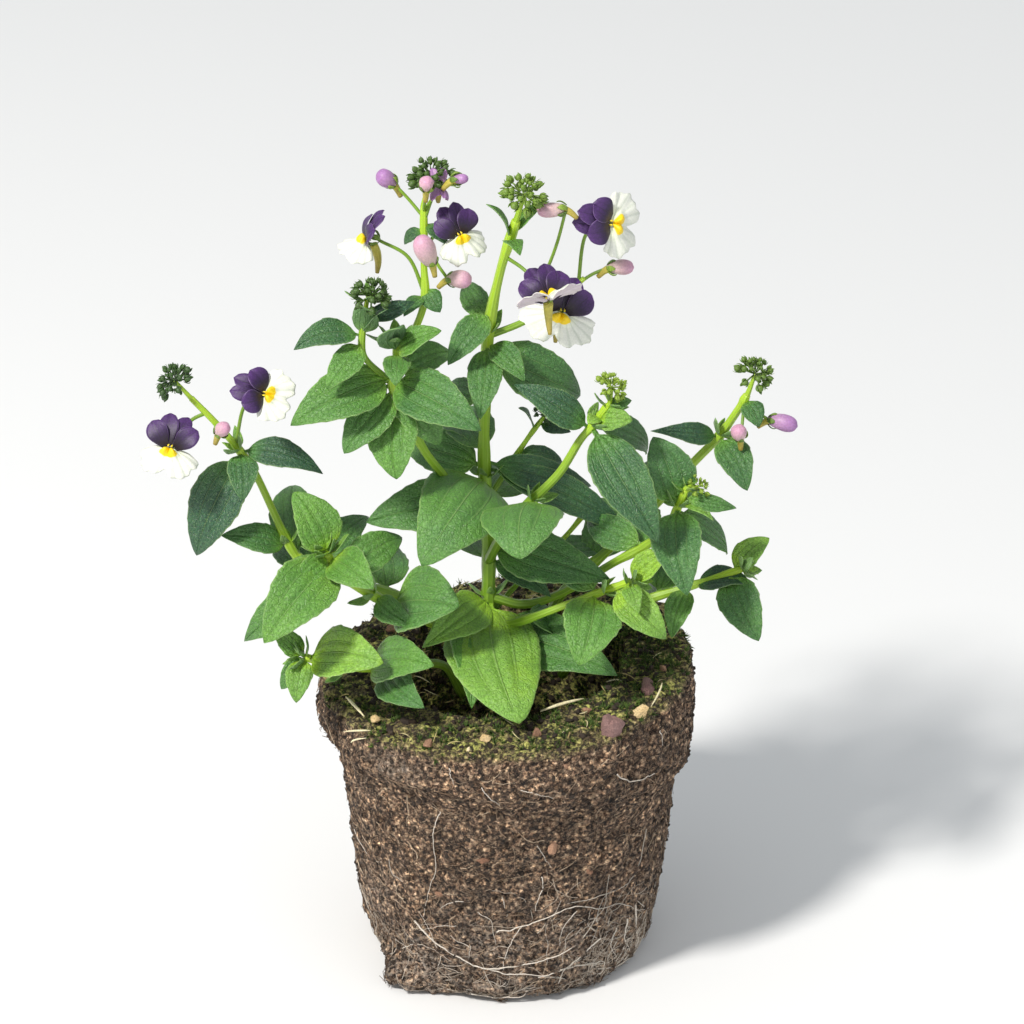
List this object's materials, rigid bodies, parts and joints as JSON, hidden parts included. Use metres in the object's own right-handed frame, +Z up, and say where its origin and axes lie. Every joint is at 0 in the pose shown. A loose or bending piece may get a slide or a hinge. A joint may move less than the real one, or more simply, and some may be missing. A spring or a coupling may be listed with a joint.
{
  "type": "nemesia plant on its root ball",
  "caption": "Young bushy bedding plant with toothed leaves, two-lipped violet and white flowers and bud heads, standing on a pot-shaped peat root ball.",
  "frame": {"origin": "middle of the flat underside of the root ball", "axes": "+Z up along the main stem, -Y towards the side that shows in the picture, +X to its right"},
  "size_m": [0.1664, 0.0981, 0.2269],
  "materials": {
    "leaf": "satin",
    "shoot": "satin",
    "petal": "matte",
    "bud": "satin",
    "bud_head": "matte",
    "peat": "matte"
  },
  "bodies": {
    "root": {"root_ball": "peat", "stem_main": "shoot", "leaf_main_1": "leaf", "leaf_main_2": "leaf", "leaf_main_3": "leaf", "leaf_main_4": "leaf", "leaf_main_5": "leaf", "leaf_main_6": "leaf", "leaf_main_7": "leaf", "leaf_main_8": "leaf", "flower_1": "petal", "bud_head_main": "bud_head", "stem_side": "shoot", "flower_2": "petal", "flower_3": "petal", "bud_pink_side": "bud", "stem_a": "shoot", "leaf_a_1": "leaf", "leaf_a_2": "leaf", "leaf_a_3": "leaf", "leaf_a_4": "leaf", "flower_4": "petal", "flower_5": "petal", "bud_pink_a": "bud", "bud_head_a": "bud_head", "stem_b": "shoot", "leaf_b_1": "leaf", "leaf_b_2": "leaf", "leaf_b_3": "leaf", "bud_head_b": "bud_head", "stem_c": "shoot", "leaf_c_1": "leaf", "leaf_c_2": "leaf", "stem_d": "shoot", "leaf_d_1": "leaf", "stem_e": "shoot", "leaf_e_1": "leaf", "leaf_e_2": "leaf", "stem_f": "shoot", "leaf_f_1": "leaf", "bud_violet_f": "bud", "bud_head_f": "bud_head", "stem_g": "shoot", "leaf_g_1": "leaf", "leaf_g_2": "leaf", "leaf_g_3": "leaf", "leaf_g_4": "leaf", "leaf_g_5": "leaf", "leaf_g_6": "leaf", "stem_h": "shoot", "leaf_h_1": "leaf", "leaf_h_2": "leaf", "leaf_h_3": "leaf", "flower_6": "petal", "flower_7": "petal", "bud_head_h": "bud_head", "stem_r": "shoot", "leaf_r_1": "leaf", "leaf_r_2": "leaf"}
  },
  "joints": []
}
